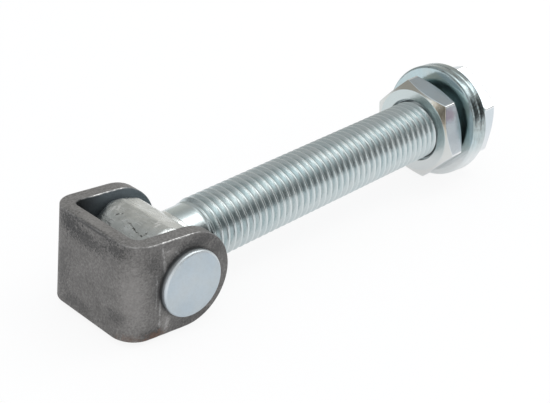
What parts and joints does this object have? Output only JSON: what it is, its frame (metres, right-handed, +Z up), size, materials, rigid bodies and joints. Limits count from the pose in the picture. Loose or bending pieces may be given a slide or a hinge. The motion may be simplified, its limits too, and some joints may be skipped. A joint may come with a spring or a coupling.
{
  "type": "adjustable gate hinge",
  "caption": "Weld-on gate hinge: a folded steel bracket with a riveted pin carries a threaded eye bolt with nuts and washers that clamp and adjust the gate frame.",
  "frame": {"origin": "centre of the weld face, the flat outer face of the bracket's web", "axes": "+X along the eye bolt from the hinge pin towards the nuts, +Y along the hinge pin from its flat head to its peened tail, +Z up with the hinge lying on a table"},
  "size_m": [0.1638, 0.0414, 0.0383],
  "materials": {
    "raw_steel": "bare hot-rolled steel with dark mill scale",
    "zinc_pin": "matte bright zinc",
    "zinc_bolt": "zinc-plated forging and rolled thread",
    "zinc_nut": "satin zinc plating",
    "zinc_washer": "bright zinc plating"
  },
  "bodies": {
    "bracket": {"weld_bracket": "raw_steel", "hinge_pin": "zinc_pin"},
    "bolt": {"eye_bolt": "zinc_bolt"},
    "inner_carriage": {"inner_washer": "zinc_washer"},
    "inner_screw": {"inner_nut": "zinc_nut"},
    "outer_carriage": {"outer_washer": "zinc_washer"},
    "outer_screw": {"outer_nut": "zinc_nut"}
  },
  "joints": [
    {"name": "eye_pivot", "type": "hinge", "parent": "bracket", "child": "bolt", "pos_m": [0.01985, 0, -0.00244], "axis": [0, -1, 0], "range_deg": [-114, 100]},
    {"name": "inner_slide", "type": "slide", "parent": "bolt", "child": "inner_carriage", "axis": [-1, 0, 0], "range_m": [0, 0.0925]},
    {"name": "inner_turn", "type": "hinge", "parent": "inner_carriage", "child": "inner_screw", "pos_m": [0.13842, 0, -0.00244], "axis": [-1, 0, 0], "range_deg": [0, 13320]},
    {"name": "outer_slide", "type": "slide", "parent": "bolt", "child": "outer_carriage", "axis": [1, 0, 0], "range_m": [0, 0.00625]},
    {"name": "outer_turn", "type": "hinge", "parent": "outer_carriage", "child": "outer_screw", "pos_m": [0.15565, 0, -0.00244], "axis": [1, 0, 0], "range_deg": [0, 900]}
  ],
  "couplings": [
    {"joint": "inner_slide", "follows": "inner_turn", "m_per_rad": 0.00039789},
    {"joint": "outer_slide", "follows": "outer_turn", "m_per_rad": 0.00039789}
  ]
}
